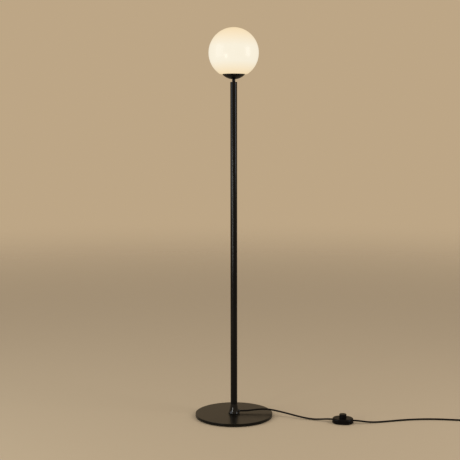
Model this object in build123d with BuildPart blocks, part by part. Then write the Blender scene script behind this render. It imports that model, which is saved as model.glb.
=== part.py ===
from build123d import *
from math import cos, hypot, pi, radians, sin, sqrt, tan
import os

os.makedirs("parts", exist_ok=True)

# A globe floor lamp. Millimetres, +Z up, the floor at z = 0, the pole's axis on Z.
# The cord leaves towards +X, and the front of the lamp faces -Y.

# Clearances
fit_gap = 0.1        # a pin or a spigot in its hole, on the radius
loose_gap = 0.3      # parts that only lie against each other
tap_gap = 0.05       # a screw in its thread, on the radius
cord_gap = 0.5       # the cord in the neck's tube, on the radius

# Foot
disc_diameter = 285.0
disc_thickness = 10.0
disc_edge = 1.0
pad_stand = 2.0      # what the pads show below the disc
pad_diameter = 18.0
pad_recess = 1.0
pad_chamfer = 0.5
pad_count = 4
pad_inset = 17.5     # from the disc's edge in to the pads' middles

# Foot cone
cone_height = 35.0
cone_foot_radius = 20.5
cone_shoulder = 0.4        # how far the cone's top stands out past the pole
cone_wall = 3.0
cone_lip = 3.0             # height of the rounded lip on the disc
cone_lip_swell = 0.3
cone_bore = 14.0
cone_throat = 9.0          # length at the cone's top that has only the bore
spigot_length = 28.0
boss_diameter = 9.0
boss_cover = 2.0           # what the bosses stand above their screws
foot_screw_count = 3
foot_screw_inset = 8.0     # from the cone's foot in to the screws' middles
foot_screw_diameter = 5.0
foot_screw_reach = 12.0    # thread above the disc
foot_screw_head = 9.0
foot_screw_head_height = 3.2
foot_screw_key = 1.7       # corner radius of the hexagon socket
foot_counterbore = 5.0

# Pole and neck
pole_diameter = 25.0
pole_wall = 1.5
pole_length = 1178.5
cap_flange = 2.5
cap_round = 1.0
cap_spigot = 20.0
nipple_wall = 1.4
nipple_tail = 2.0    # thread that shows below the lower nut
nipple_head = 8.0    # thread inside the lamp holder
neck_wall = 0.7
neck_length = 10.0
nut_wall = 2.0
nut_height = 3.0

# Dish, and the pan in it that the glass turns onto
cup_diameter = 80.0
cup_depth = 18.0
cup_lip = 2.0
cup_wall = 1.2
cup_land = 2.0       # flat of the dish round its nut
pan_wall = 1.5
pan_corner = 1.0
pan_lift = 1.5       # the pan's corner above the dish's wall
rim_inset = 9.0      # from the dish's edge in to the pan's rim
rim_stand = 3.0      # what the pan's rim stands above the dish's

# Glass
globe_diameter = 180.0
globe_wall = 3.0
globe_overhang = 9.4       # how far the glass's flat foot reaches out past the dish
glass_neck_wall = 3.2
glass_neck_clearance = 1.0
glass_foot_round = 6.0

# Lamp holder
holder_wall = 2.0
holder_base_height = 26.0
holder_cover = 6.0         # from the bulb's cap out to the holder's side
holder_collar_wall = 3.5
holder_collar_height = 4.0
holder_flare = 8.0
holder_ledge = 1.0
insert_height = 9.0
insert_sink = 1.0
shell_wall = 0.4
shell_height = 20.0
shell_sink = 2.0
skirt_lip = 0.8
skirt_band = 10.0
skirt_step = 1.2
skirt_floor = 2.0
skirt_gap = 1.0            # below the bulb's body
contact_height = 1.6
contact_width = 5.0
contact_leaf = 0.6
contact_back = 6.0
contact_front = 4.0
contact_bend = 2.0
holder_terminal_spread = 18.0
holder_terminal_width = 5.0
holder_terminal_length = 7.0
holder_terminal_depth = 5.0
holder_terminal_stand = 1.0
holder_terminal_bore = 2.4

# Bulb
bulb_cap_radius = 13.0
bulb_cap_height = 20.0
bulb_cap_chamfer = 1.2
bulb_cap_wall = 0.6
bulb_tip_radius = 4.8
bulb_tip_height = 2.0
bulb_insulator_height = 3.0
bulb_insulator_rim = 1.5
bulb_collar = 1.0
bulb_collar_height = 2.0
bulb_body_height = 27.0
bulb_body_radius = 21.2
bulb_dome_radius = 22.5
bulb_dome_wall = 1.5

# Cord
cord_diameter = 6.2
cord_exit_height = 7.7     # above the disc
cord_bend = 18.0           # the bend inside the foot cone
bush_wall = 1.6
bush_stand = 1.0           # what the bush shows outside the cone
bush_depth = 6.5           # its length
core_radius = 0.8
core_spread = 1.5          # from the cord's middle to each core

# Foot switch, which lies a little askew on the floor
switch_x = 394.4
switch_y = -87.5
switch_turn = -12.0
switch_length = 76.0
switch_width = 62.0
switch_end_flat = 1.0      # straight stretch across each end
switch_wall = 2.0
switch_edge = 2.0
switch_stand = 1.0         # what the switch's own pads show below it
switch_seam = 11.0         # height of the seam, and of the cord in it
seam_chamfer = 0.3
cover_band = 3.0           # upright part of the cover
cover_height = 7.7
cover_draw = 2.2           # how far the cover's sides lean in above that
cover_round = 3.5
switch_pad_diameter = 8.0
switch_pad_recess = 0.6
switch_pad_spread = 24.0
switch_screw_inset_x = 18.0
switch_screw_inset_y = 13.0
switch_screw_diameter = 3.0
switch_screw_head = 5.7
switch_screw_head_height = 2.0
switch_screw_sink = 1.0
switch_screw_reach = 4.0   # thread above the seam
switch_pillar = 8.0

# The button and what it works
button_diameter = 26.0
button_height = 16.4       # from the flange's top
button_round = 1.6
button_wall = 2.0
button_travel = 3.5
button_flange = 1.7        # its thickness, and how far it reaches out
stem_diameter = 6.0
stem_clearance = 1.0       # left below the pressed stem
latch_length = 24.0
latch_width = 18.0
latch_height = 5.4
latch_corner = 1.5
spring_wire = 0.7
spring_radius = 6.0
spring_turns = 2.5
spring_seat_border = 2.0

# The switch's terminals and cord clamps
terminal_width = 5.0
terminal_spread = 9.2
terminal_gap = 3.0         # from the latch
terminal_rise = 1.6        # above the seam
terminal_head = 3.2
terminal_head_height = 1.2
clamp_inset = 9.5
clamp_length = 5.0
clamp_wall = 1.2
clamp_bar = 2.0
post_width = 4.4
post_gap = 1.0             # from the cord
post_rise = 1.0            # above the seam
clamp_screw_diameter = 2.0
clamp_screw_depth = 4.0
clamp_screw_head = 3.6
clamp_screw_head_height = 1.2

# Coil of the length that is put away, in two layers
coil_x = 895.0
coil_entry_y = -72.5
coil_inner_radius = 25.4   # at the half turn where it climbs
coil_pitch = 8.0
coil_layer = 7.2
coil_rest = 3.95           # height of the lower layer's middle
coil_lower_halves = 5
coil_upper_halves = 4
tie_width = 6.0
tie_thickness = 0.5

# Plug, flat, with two round pins
plug_x = 942.0
plug_y = 60.0              # where the cord meets the strain relief
plug_thickness = 13.7
plug_width = 35.3
plug_length = 35.0
plug_side = 17.5           # straight side behind the pins
plug_hip_width = 25.4
plug_hip = 4.9
plug_throat_width = 15.5
plug_corner = 2.4
plug_chamfer = 2.2
relief_length = 22.0
relief_overlap = 3.0       # its root inside the body
relief_root_radius = 5.6
relief_tail_radius = 4.0
relief_core_radius = 3.1
groove_count = 4
groove_pitch = 4.2
groove_width = 1.6
groove_start = 3.0
groove_bridge = 2.6
pin_diameter = 4.0
pin_length = 19.0
pin_spacing = 18.6
pin_sleeve_length = 10.0
pin_root = 8.0
pin_core_radius = 1.3
pin_point = 1.0

# Levels and radii that follow from the sizes above
cord_radius = cord_diameter / 2
nipple_bore = cord_diameter + 2 * cord_gap
nipple_radius = nipple_bore / 2 + nipple_wall
nipple_hole = nipple_radius + fit_gap
nut_width = 2 * (nipple_radius + nut_wall)
neck_radius = nipple_hole + neck_wall
pole_radius = pole_diameter / 2
spigot_radius = pole_radius - pole_wall - fit_gap
cone_top_radius = pole_radius + cone_shoulder
disc_top = pad_stand + disc_thickness
cone_top = disc_top + cone_height
pole_top = cone_top + pole_length
head_base = pole_top + cap_flange
cup_bottom = head_base + neck_length
cup_rim = cup_bottom + cup_depth
cup_floor = cup_bottom + cup_wall
pan_floor = cup_floor + pan_wall
holder_bottom = pan_floor + nut_height
holder_top = holder_bottom + holder_base_height
holder_radius = bulb_cap_radius + holder_cover
insert_top = holder_top - insert_sink
insert_bottom = insert_top - insert_height
nipple_top = holder_bottom + nipple_head
bulb_bottom = insert_top + contact_height
bulb_insulator_top = bulb_bottom + bulb_tip_height + bulb_insulator_height
bulb_cap_top = bulb_insulator_top + bulb_cap_height
bulb_body_top = bulb_cap_top + bulb_body_height
cord_exit = disc_top + cord_exit_height


def write(builder, label):
    """Name one finished piece and write it to its own file."""
    builder.part.label = label
    export_step(builder.part, f"parts/{label}.step")


# ---------------------------------------------------------------- foot

foot_screw_circle = cone_foot_radius - foot_screw_inset
pad_circle = disc_diameter / 2 - pad_inset


def foot_screw_spots():
    """Where the foot's screws stand round the pole's axis."""
    return PolarLocations(foot_screw_circle, foot_screw_count, start_angle=60)


def pad_spots():
    """Where the pads stand round the pole's axis."""
    return PolarLocations(pad_circle, pad_count, start_angle=45)


with BuildPart() as base_plate:
    with BuildSketch(Plane.XY.offset(pad_stand)):
        Circle(disc_diameter / 2)
    extrude(amount=disc_thickness)
    fillet(base_plate.edges().filter_by(GeomType.CIRCLE), disc_edge)
    with BuildSketch(Plane.XY.offset(pad_stand)):
        with pad_spots():
            Circle(pad_diameter / 2 + fit_gap)
    extrude(amount=pad_recess, mode=Mode.SUBTRACT)
    with BuildSketch(Plane.XY.offset(pad_stand)):
        with foot_screw_spots():
            Circle(foot_screw_head / 2 + loose_gap)
    extrude(amount=foot_counterbore, mode=Mode.SUBTRACT)
    with BuildSketch(Plane.XY.offset(pad_stand)):
        with foot_screw_spots():
            Circle(foot_screw_diameter / 2 + fit_gap)
    extrude(amount=disc_thickness, mode=Mode.SUBTRACT)
write(base_plate, "base_plate")

with BuildPart() as base_pads:
    with BuildSketch(Plane.XY):
        with pad_spots():
            Circle(pad_diameter / 2)
    extrude(amount=pad_stand + pad_recess)
    chamfer(base_pads.faces().sort_by(Axis.Z)[:pad_count].edges(), pad_chamfer)
write(base_pads, "base_pads")

with BuildPart() as base_screws:
    head_top = pad_stand + foot_counterbore
    head_bottom = head_top - foot_screw_head_height
    with BuildSketch(Plane.XY.offset(head_bottom)):
        with foot_screw_spots():
            Circle(foot_screw_head / 2)
    extrude(amount=foot_screw_head_height)
    fillet(base_screws.faces().sort_by(Axis.Z)[:foot_screw_count].edges(), foot_screw_head_height / 3)
    with BuildSketch(Plane.XY.offset(head_bottom)):
        with foot_screw_spots():
            RegularPolygon(foot_screw_key, 6)
    extrude(amount=foot_screw_head_height / 2, mode=Mode.SUBTRACT)
    with BuildSketch(Plane.XY.offset(head_top)):
        with foot_screw_spots():
            Circle(foot_screw_diameter / 2)
    extrude(amount=disc_top + foot_screw_reach - head_top)
write(base_screws, "base_screws")

# The trumpet of the cone: a hollow flare, a rounded lip on the disc and a spigot inside the pole.
cone_waist = disc_top + 0.44 * cone_height
cone_waist_radius = cone_top_radius + 0.43 * (cone_foot_radius - cone_top_radius)
cone_room_top = cone_top - cone_throat
cone_room_radius = cone_foot_radius - cone_wall

# The room inside the flare, less the screw bosses that stand in it.
with BuildPart() as cone_room:
    with BuildSketch(Plane.XZ):
        with BuildLine():
            Line((0, disc_top), (cone_room_radius, disc_top))
            ThreePointArc(
                (cone_room_radius, disc_top),
                (cone_waist_radius - cone_wall, cone_waist),
                (cone_bore / 2, cone_room_top),
            )
            Line((cone_bore / 2, cone_room_top), (0, cone_room_top))
            Line((0, cone_room_top), (0, disc_top))
        make_face()
    revolve(axis=Axis.Z)
    with BuildSketch(Plane.XY.offset(disc_top)):
        with foot_screw_spots():
            Circle(boss_diameter / 2)
    extrude(amount=foot_screw_reach + boss_cover, mode=Mode.SUBTRACT)

with BuildPart() as foot_cone:
    lip_top = disc_top + cone_lip
    spigot_top = cone_top + spigot_length
    with BuildSketch(Plane.XZ):
        with BuildLine():
            Line((0, disc_top), (cone_foot_radius, disc_top))
            ThreePointArc(
                (cone_foot_radius, disc_top),
                (cone_foot_radius + cone_lip_swell, disc_top + cone_lip / 2),
                (cone_foot_radius - cone_lip_swell, lip_top),
            )
            ThreePointArc(
                (cone_foot_radius - cone_lip_swell, lip_top),
                (cone_waist_radius, cone_waist),
                (cone_top_radius, cone_top),
            )
            Line((cone_top_radius, cone_top), (spigot_radius, cone_top))
            Line((spigot_radius, cone_top), (spigot_radius, spigot_top))
            Line((spigot_radius, spigot_top), (0, spigot_top))
            Line((0, spigot_top), (0, disc_top))
        make_face()
    revolve(axis=Axis.Z)
    with BuildSketch(Plane.XY.offset(disc_top)):
        Circle(cone_bore / 2)
    extrude(amount=cone_height + spigot_length, mode=Mode.SUBTRACT)
    add(cone_room.part, mode=Mode.SUBTRACT)
    with BuildSketch(Plane.XY.offset(disc_top)):
        with foot_screw_spots():
            Circle(foot_screw_diameter / 2 + tap_gap)
    extrude(amount=foot_screw_reach + loose_gap, mode=Mode.SUBTRACT)
    with BuildSketch(Plane.YZ.offset(cone_bore / 2)):
        with Locations((0, cord_exit)):
            Circle(cord_radius + loose_gap + bush_wall + fit_gap)
    extrude(amount=cone_foot_radius, mode=Mode.SUBTRACT)
write(foot_cone, "foot_cone")

bush_face = cone_foot_radius + bush_stand

with BuildPart() as cord_bush:
    with BuildSketch(Plane.YZ.offset(bush_face - bush_depth)):
        with Locations((0, cord_exit)):
            Circle(cord_radius + loose_gap + bush_wall)
            Circle(cord_radius + loose_gap, mode=Mode.SUBTRACT)
    extrude(amount=bush_depth)
    fillet(cord_bush.faces().sort_by(Axis.X)[-1].edges(), bush_wall / 3)
write(cord_bush, "cord_bush")

# ---------------------------------------------------------------- pole and neck

with BuildPart() as pole:
    with BuildSketch(Plane.XY.offset(cone_top)):
        Circle(pole_radius)
        Circle(pole_radius - pole_wall, mode=Mode.SUBTRACT)
    extrude(amount=pole_length)
write(pole, "pole")

cap_bottom = pole_top - cap_spigot

with BuildPart() as pole_cap:
    with BuildSketch(Plane.XY.offset(pole_top)):
        Circle(pole_radius)
    extrude(amount=cap_flange)
    fillet(pole_cap.faces().sort_by(Axis.Z)[-1].edges(), cap_round)
    with BuildSketch(Plane.XY.offset(cap_bottom)):
        Circle(spigot_radius)
    extrude(amount=cap_spigot)
    with BuildSketch(Plane.XY.offset(cap_bottom)):
        Circle(nipple_hole)
    extrude(amount=cap_spigot + cap_flange, mode=Mode.SUBTRACT)
write(pole_cap, "pole_cap")


def lock_nut(level, label):
    """A hexagon nut on the nipple, with its lower face at the given level."""
    with BuildPart() as nut:
        with BuildSketch(Plane.XY.offset(level)):
            RegularPolygon(nut_width / 2, 6, major_radius=False)
            Circle(nipple_hole, mode=Mode.SUBTRACT)
        extrude(amount=nut_height)
    write(nut, label)


lock_nut(cap_bottom - nut_height, "pole_nut")
lock_nut(pan_floor, "carrier_nut")

nipple_bottom = cap_bottom - nut_height - nipple_tail

with BuildPart() as neck_nipple:
    with BuildSketch(Plane.XY.offset(nipple_bottom)):
        Circle(nipple_radius)
        Circle(nipple_bore / 2, mode=Mode.SUBTRACT)
    extrude(amount=nipple_top - nipple_bottom)
    chamfer(neck_nipple.edges().filter_by(GeomType.CIRCLE), nipple_wall / 4)
write(neck_nipple, "neck_nipple")

with BuildPart() as neck_sleeve:
    with BuildSketch(Plane.XY.offset(head_base)):
        Circle(neck_radius)
        Circle(nipple_hole, mode=Mode.SUBTRACT)
    extrude(amount=neck_length)
write(neck_sleeve, "neck_sleeve")

# ---------------------------------------------------------------- dish and pan

# The dish is a slice of a sphere with a small flat for the sleeve and an upright lip.
cup_radius = cup_diameter / 2
cup_flat_radius = nut_width / 2 + cup_land
dish_rise = cup_depth - cup_lip
dish_drop = (cup_radius**2 + dish_rise**2 - cup_flat_radius**2) / (2 * dish_rise)
dish_centre = cup_bottom + dish_drop
outer_sphere = hypot(cup_flat_radius, dish_drop)
inner_sphere = outer_sphere - cup_wall


def dish_level(reach, sphere):
    """Height of a sphere about the dish's centre, at a distance from the axis."""
    return dish_centre - sqrt(sphere**2 - reach**2)


with BuildPart() as globe_cup:
    inner_radius = cup_radius - cup_wall
    inner_flat = sqrt(inner_sphere**2 - (dish_centre - cup_floor) ** 2)
    inner_edge = dish_level(inner_radius, inner_sphere)
    outer_middle = (cup_flat_radius + cup_radius) / 2
    inner_middle = (inner_flat + inner_radius) / 2
    with BuildSketch(Plane.XZ):
        with BuildLine():
            Line((nipple_hole, cup_bottom), (cup_flat_radius, cup_bottom))
            ThreePointArc(
                (cup_flat_radius, cup_bottom),
                (outer_middle, dish_level(outer_middle, outer_sphere)),
                (cup_radius, cup_rim - cup_lip),
            )
            Line((cup_radius, cup_rim - cup_lip), (cup_radius, cup_rim))
            Line((cup_radius, cup_rim), (inner_radius, cup_rim))
            Line((inner_radius, cup_rim), (inner_radius, inner_edge))
            ThreePointArc(
                (inner_radius, inner_edge),
                (inner_middle, dish_level(inner_middle, inner_sphere)),
                (inner_flat, cup_floor),
            )
            Line((inner_flat, cup_floor), (nipple_hole, cup_floor))
            Line((nipple_hole, cup_floor), (nipple_hole, cup_bottom))
        make_face()
    revolve(axis=Axis.Z)
    fillet(globe_cup.faces().sort_by(Axis.Z)[-1].edges(), cup_wall / 3)
write(globe_cup, "globe_cup")

# The pan stands on the dish's floor and carries the glass on its rim.
rim_radius = cup_radius - rim_inset
rim_top = cup_rim + rim_stand
pan_elbow = dish_level(rim_radius, inner_sphere) + pan_lift
pan_flat = nut_width / 2 / cos(radians(30)) + loose_gap

with BuildPart() as globe_carrier:
    with BuildSketch(Plane.XZ):
        with BuildLine():
            Polyline(
                (nipple_hole, cup_floor),
                (pan_flat, cup_floor),
                (rim_radius - pan_corner, pan_elbow - pan_corner),
                (rim_radius, pan_elbow),
                (rim_radius, rim_top),
                (rim_radius - pan_wall, rim_top),
                (rim_radius - pan_wall, pan_elbow + pan_corner / 2),
                (pan_flat, pan_floor),
                (nipple_hole, pan_floor),
                close=True,
            )
        make_face()
    revolve(axis=Axis.Z)
write(globe_carrier, "globe_carrier")

# ---------------------------------------------------------------- glass

globe_radius = globe_diameter / 2
globe_inner = globe_radius - globe_wall
glass_seat = cup_rim + loose_gap
glass_foot = cup_radius + globe_overhang
globe_centre = glass_seat + sqrt(globe_radius**2 - glass_foot**2)
globe_top = globe_centre + globe_radius
glass_floor = glass_seat + globe_wall
glass_floor_edge = sqrt(globe_inner**2 - (globe_centre - glass_floor) ** 2)
glass_neck_inner = rim_radius + loose_gap
glass_neck_outer = glass_neck_inner + glass_neck_wall
glass_neck_foot = dish_level(glass_neck_outer + glass_neck_clearance, inner_sphere)

with BuildPart() as glass_globe:
    with BuildSketch(Plane.XZ) as glass_profile:
        with BuildLine():
            Polyline(
                (glass_floor_edge, glass_floor),
                (glass_neck_inner, glass_floor),
                (glass_neck_inner, glass_neck_foot),
                (glass_neck_outer, glass_neck_foot),
                (glass_neck_outer, glass_seat),
                (glass_foot, glass_seat),
            )
            ThreePointArc((glass_foot, glass_seat), (globe_radius, globe_centre), (0, globe_top))
            Line((0, globe_top), (0, globe_top - globe_wall))
            ThreePointArc(
                (0, globe_top - globe_wall),
                (globe_inner, globe_centre),
                (glass_floor_edge, glass_floor),
            )
        make_face()
        foot_corner = glass_profile.vertices().sort_by_distance((glass_foot, glass_seat))[0]
        fillet(foot_corner, glass_foot_round)
        floor_corner = glass_profile.vertices().sort_by_distance((glass_floor_edge, glass_floor))[0]
        fillet(floor_corner, glass_foot_round - globe_wall)
    revolve(axis=Axis.Z)
write(glass_globe, "glass_globe")

# ---------------------------------------------------------------- lamp holder

holder_inner = holder_radius - holder_wall
holder_neck_top = holder_bottom + holder_collar_height
holder_flare_top = holder_neck_top + holder_flare
shell_radius = bulb_cap_radius + loose_gap
shell_seat = insert_top - shell_sink
terminal_bottom = insert_bottom - holder_terminal_stand

with BuildPart() as holder_base:
    with BuildSketch(Plane.XZ):
        with BuildLine():
            Polyline(
                (nipple_hole, holder_bottom),
                (nipple_hole + holder_collar_wall, holder_bottom),
                (nipple_hole + holder_collar_wall, holder_neck_top),
                (holder_radius, holder_flare_top),
                (holder_radius, holder_top),
                (holder_inner, holder_top),
                (holder_inner, insert_bottom),
                (holder_inner - holder_ledge, insert_bottom),
                (holder_inner - holder_ledge, holder_flare_top + holder_wall / 2),
                (nipple_hole + holder_wall, holder_neck_top + holder_wall),
                (nipple_hole, holder_neck_top + holder_wall),
                close=True,
            )
        make_face()
    revolve(axis=Axis.Z)
write(holder_base, "holder_base")

with BuildPart() as holder_insert:
    with BuildSketch(Plane.XY.offset(insert_bottom)):
        Circle(holder_inner - fit_gap)
    extrude(amount=insert_height)
    with BuildSketch(Plane.XY.offset(shell_seat)):
        Circle(shell_radius + shell_wall + fit_gap)
    extrude(amount=shell_sink, mode=Mode.SUBTRACT)
    with BuildSketch(Plane.XY.offset(insert_bottom)):
        with GridLocations(holder_terminal_spread, 1, 2, 1):
            Rectangle(holder_terminal_width + 2 * fit_gap, holder_terminal_length + 2 * fit_gap)
    extrude(amount=holder_terminal_depth, mode=Mode.SUBTRACT)
write(holder_insert, "holder_insert")

with BuildPart() as holder_terminals:
    with BuildSketch(Plane.XY.offset(terminal_bottom)):
        with GridLocations(holder_terminal_spread, 1, 2, 1):
            Rectangle(holder_terminal_width, holder_terminal_length)
            Circle(holder_terminal_bore / 2, mode=Mode.SUBTRACT)
    extrude(amount=holder_terminal_depth + holder_terminal_stand - loose_gap)
write(holder_terminals, "holder_terminals")

with BuildPart() as holder_shell:
    with BuildSketch(Plane.XY.offset(shell_seat)):
        Circle(shell_radius + shell_wall)
        Circle(shell_radius, mode=Mode.SUBTRACT)
    extrude(amount=shell_height)
write(holder_shell, "holder_shell")

with BuildPart() as holder_skirt:
    skirt_bore = shell_radius + shell_wall + fit_gap
    skirt_radius = holder_radius + skirt_lip
    skirt_top = bulb_cap_top - skirt_gap
    with BuildSketch(Plane.XZ):
        with BuildLine():
            Polyline(
                (holder_inner, holder_top),
                (skirt_radius, holder_top),
                (skirt_radius, holder_top + skirt_band),
                (skirt_radius - skirt_step, holder_top + skirt_band + skirt_step),
                (skirt_radius - skirt_step, skirt_top),
                (skirt_bore, skirt_top),
                (skirt_bore, holder_top + skirt_floor),
                (holder_inner, holder_top + skirt_floor),
                close=True,
            )
        make_face()
    revolve(axis=Axis.Z)
    fillet(holder_skirt.faces().sort_by(Axis.Z)[-1].edges(), holder_wall / 2)
write(holder_skirt, "holder_skirt")

with BuildPart() as holder_contact:
    contact_tip = bulb_bottom - loose_gap
    with BuildSketch(Plane.XZ):
        with BuildLine():
            Polyline(
                (-contact_back, shell_seat),
                (-contact_bend, shell_seat),
                (contact_front, contact_tip - contact_leaf),
                (contact_front, contact_tip),
                (contact_bend, contact_tip),
                (-contact_bend - contact_leaf / 2, shell_seat + contact_leaf),
                (-contact_back, shell_seat + contact_leaf),
                close=True,
            )
        make_face()
    extrude(amount=contact_width / 2, both=True)
write(holder_contact, "holder_contact")

# ---------------------------------------------------------------- bulb

bulb_tip_top = bulb_bottom + bulb_tip_height
bulb_dome_centre = bulb_body_top + sqrt(bulb_dome_radius**2 - bulb_body_radius**2)
bulb_top = bulb_dome_centre + bulb_dome_radius

with BuildPart() as bulb_contact:
    with BuildSketch(Plane.XY.offset(bulb_bottom)):
        Circle(bulb_tip_radius)
    extrude(amount=bulb_tip_height)
    fillet(bulb_contact.faces().sort_by(Axis.Z)[0].edges(), bulb_tip_height / 2)
write(bulb_contact, "bulb_contact")

with BuildPart() as bulb_insulator:
    with BuildSketch(Plane.XZ):
        with BuildLine():
            Polyline(
                (0, bulb_tip_top),
                (bulb_tip_radius, bulb_tip_top),
                (bulb_cap_radius - bulb_insulator_rim, bulb_insulator_top),
                (0, bulb_insulator_top),
                close=True,
            )
        make_face()
    revolve(axis=Axis.Z)
write(bulb_insulator, "bulb_insulator")

with BuildPart() as bulb_cap:
    with BuildSketch(Plane.XY.offset(bulb_insulator_top)):
        Circle(bulb_cap_radius)
    extrude(amount=bulb_cap_height)
    chamfer(bulb_cap.faces().sort_by(Axis.Z)[0].edges(), bulb_cap_chamfer)
    with BuildSketch(Plane.XY.offset(bulb_insulator_top + bulb_cap_chamfer + bulb_cap_wall)):
        Circle(bulb_cap_radius - bulb_cap_wall)
    extrude(amount=bulb_cap_height, mode=Mode.SUBTRACT)
write(bulb_cap, "bulb_cap")

with BuildPart() as bulb_body:
    collar_radius = bulb_cap_radius + bulb_collar
    collar_top = bulb_cap_top + bulb_collar_height
    flare_middle = ((collar_radius + bulb_body_radius) / 2, bulb_cap_top + 0.55 * bulb_body_height)
    with BuildSketch(Plane.XZ):
        with BuildLine():
            Line((0, bulb_cap_top), (collar_radius, bulb_cap_top))
            Line((collar_radius, bulb_cap_top), (collar_radius, collar_top))
            ThreePointArc((collar_radius, collar_top), flare_middle, (bulb_body_radius, bulb_body_top))
            Line((bulb_body_radius, bulb_body_top), (0, bulb_body_top))
            Line((0, bulb_body_top), (0, bulb_cap_top))
        make_face()
    revolve(axis=Axis.Z)
write(bulb_body, "bulb_body")

with BuildPart() as bulb_dome:
    dome_inner = bulb_dome_radius - bulb_dome_wall
    dome_foot = sqrt(dome_inner**2 - (bulb_dome_centre - bulb_body_top) ** 2)
    with BuildSketch(Plane.XZ):
        with BuildLine():
            Line((dome_foot, bulb_body_top), (bulb_body_radius, bulb_body_top))
            ThreePointArc(
                (bulb_body_radius, bulb_body_top),
                (bulb_dome_radius, bulb_dome_centre),
                (0, bulb_top),
            )
            Line((0, bulb_top), (0, bulb_top - bulb_dome_wall))
            ThreePointArc(
                (0, bulb_top - bulb_dome_wall),
                (dome_inner, bulb_dome_centre),
                (dome_foot, bulb_body_top),
            )
        make_face()
    revolve(axis=Axis.Z)
write(bulb_dome, "bulb_dome")

# ---------------------------------------------------------------- foot switch

switch_plane = Plane(
    origin=(switch_x, switch_y, 0),
    x_dir=(cos(radians(switch_turn)), sin(radians(switch_turn)), 0),
    z_dir=(0, 0, 1),
)
switch_floor = switch_stand + switch_wall
cover_top = switch_seam + cover_height
button_radius = button_diameter / 2
screw_span_x = switch_length - 2 * switch_screw_inset_x
screw_span_y = switch_width - 2 * switch_screw_inset_y
post_y = cord_radius + post_gap + post_width / 2
post_top = switch_seam + post_rise
clamp_x = switch_length / 2 - clamp_inset


def switch_cross(reach):
    """A plane across the switch, square to its length, at a distance from its middle."""
    origin = switch_plane.from_local_coords(Vector(reach, 0, 0))
    return Plane(origin=origin, x_dir=switch_plane.y_dir, z_dir=switch_plane.x_dir)


def switch_outline(inset):
    """The switch's rounded outline, drawn in by an even border."""
    corner = (switch_width - switch_end_flat) / 2
    RectangleRounded(switch_length - 2 * inset, switch_width - 2 * inset, corner - inset)


def shoulder_inset(rise):
    """How far the cover's side has leant in at a height above its upright band."""
    return cover_draw * rise / (cover_height - cover_band)


def screw_spots():
    """Where the switch's four screws stand."""
    return GridLocations(screw_span_x, screw_span_y, 2, 2)


def post_spots():
    """Where the four posts of the cord clamps stand."""
    return GridLocations(2 * clamp_x, 2 * post_y, 2, 2)


def switch_pad_spots():
    """Where the switch's own pads lie, between its screws."""
    return GridLocations(switch_pad_spread, screw_span_y, 2, 2)


with BuildPart() as switch_base:
    with BuildSketch(switch_plane.offset(switch_stand)):
        switch_outline(0)
    extrude(amount=switch_seam - switch_stand)
    fillet(switch_base.faces().sort_by(Axis.Z)[0].edges(), switch_edge)
    chamfer(switch_base.faces().sort_by(Axis.Z)[-1].edges(), seam_chamfer)
    with BuildSketch(switch_plane.offset(switch_floor)):
        switch_outline(switch_wall)
        with screw_spots():
            Circle(switch_pillar / 2, mode=Mode.SUBTRACT)
    extrude(amount=switch_seam - switch_floor, mode=Mode.SUBTRACT)
    with BuildSketch(switch_plane.offset(switch_stand)):
        with screw_spots():
            Circle(switch_screw_head / 2 + fit_gap)
    extrude(amount=switch_screw_sink + switch_screw_head_height, mode=Mode.SUBTRACT)
    with BuildSketch(switch_plane.offset(switch_stand)):
        with screw_spots():
            Circle(switch_screw_diameter / 2 + fit_gap)
    extrude(amount=switch_seam, mode=Mode.SUBTRACT)
    with BuildSketch(switch_plane.offset(switch_floor)):
        with post_spots():
            Rectangle(clamp_length, post_width)
            Circle(clamp_screw_diameter / 2 + tap_gap, mode=Mode.SUBTRACT)
    extrude(amount=post_top - switch_floor)
    with BuildSketch(switch_cross(-switch_length)):
        with Locations((0, switch_seam)):
            Circle(cord_radius + loose_gap)
    extrude(amount=2 * switch_length, mode=Mode.SUBTRACT)
    with BuildSketch(switch_plane.offset(switch_stand)):
        with switch_pad_spots():
            Circle(switch_pad_diameter / 2 + fit_gap)
    extrude(amount=switch_pad_recess, mode=Mode.SUBTRACT)
write(switch_base, "switch_base")

# The room inside the cover, less its four screw pillars.
with BuildPart() as cover_room:
    with BuildSketch(switch_plane.offset(switch_seam)):
        switch_outline(switch_wall)
    extrude(amount=cover_band)
    with BuildSketch(switch_plane.offset(switch_seam + cover_band)):
        switch_outline(switch_wall)
    with BuildSketch(switch_plane.offset(cover_top - switch_wall)):
        switch_outline(switch_wall + shoulder_inset(cover_height - cover_band - switch_wall))
    loft(ruled=True)
    with BuildSketch(switch_plane.offset(switch_seam)):
        with screw_spots():
            Circle(switch_pillar / 2)
    extrude(amount=cover_height, mode=Mode.SUBTRACT)

with BuildPart() as switch_cover:
    with BuildSketch(switch_plane.offset(switch_seam)):
        switch_outline(0)
    extrude(amount=cover_band)
    with BuildSketch(switch_plane.offset(switch_seam + cover_band)):
        switch_outline(0)
    with BuildSketch(switch_plane.offset(cover_top)):
        switch_outline(cover_draw)
    loft(ruled=True)
    fillet(switch_cover.faces().sort_by(Axis.Z)[-1].edges(), cover_round)
    chamfer(switch_cover.faces().sort_by(Axis.Z)[0].edges(), seam_chamfer)
    add(cover_room.part, mode=Mode.SUBTRACT)
    with BuildSketch(switch_plane.offset(switch_seam)):
        with screw_spots():
            Circle(switch_screw_diameter / 2 + tap_gap)
    extrude(amount=switch_screw_reach + loose_gap, mode=Mode.SUBTRACT)
    with BuildSketch(switch_plane.offset(switch_seam)):
        Circle(button_radius + loose_gap)
    extrude(amount=cover_height, mode=Mode.SUBTRACT)
    with BuildSketch(switch_cross(-switch_length)):
        with Locations((0, switch_seam)):
            Circle(cord_radius + loose_gap)
    extrude(amount=2 * switch_length, mode=Mode.SUBTRACT)
write(switch_cover, "switch_cover")

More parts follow.
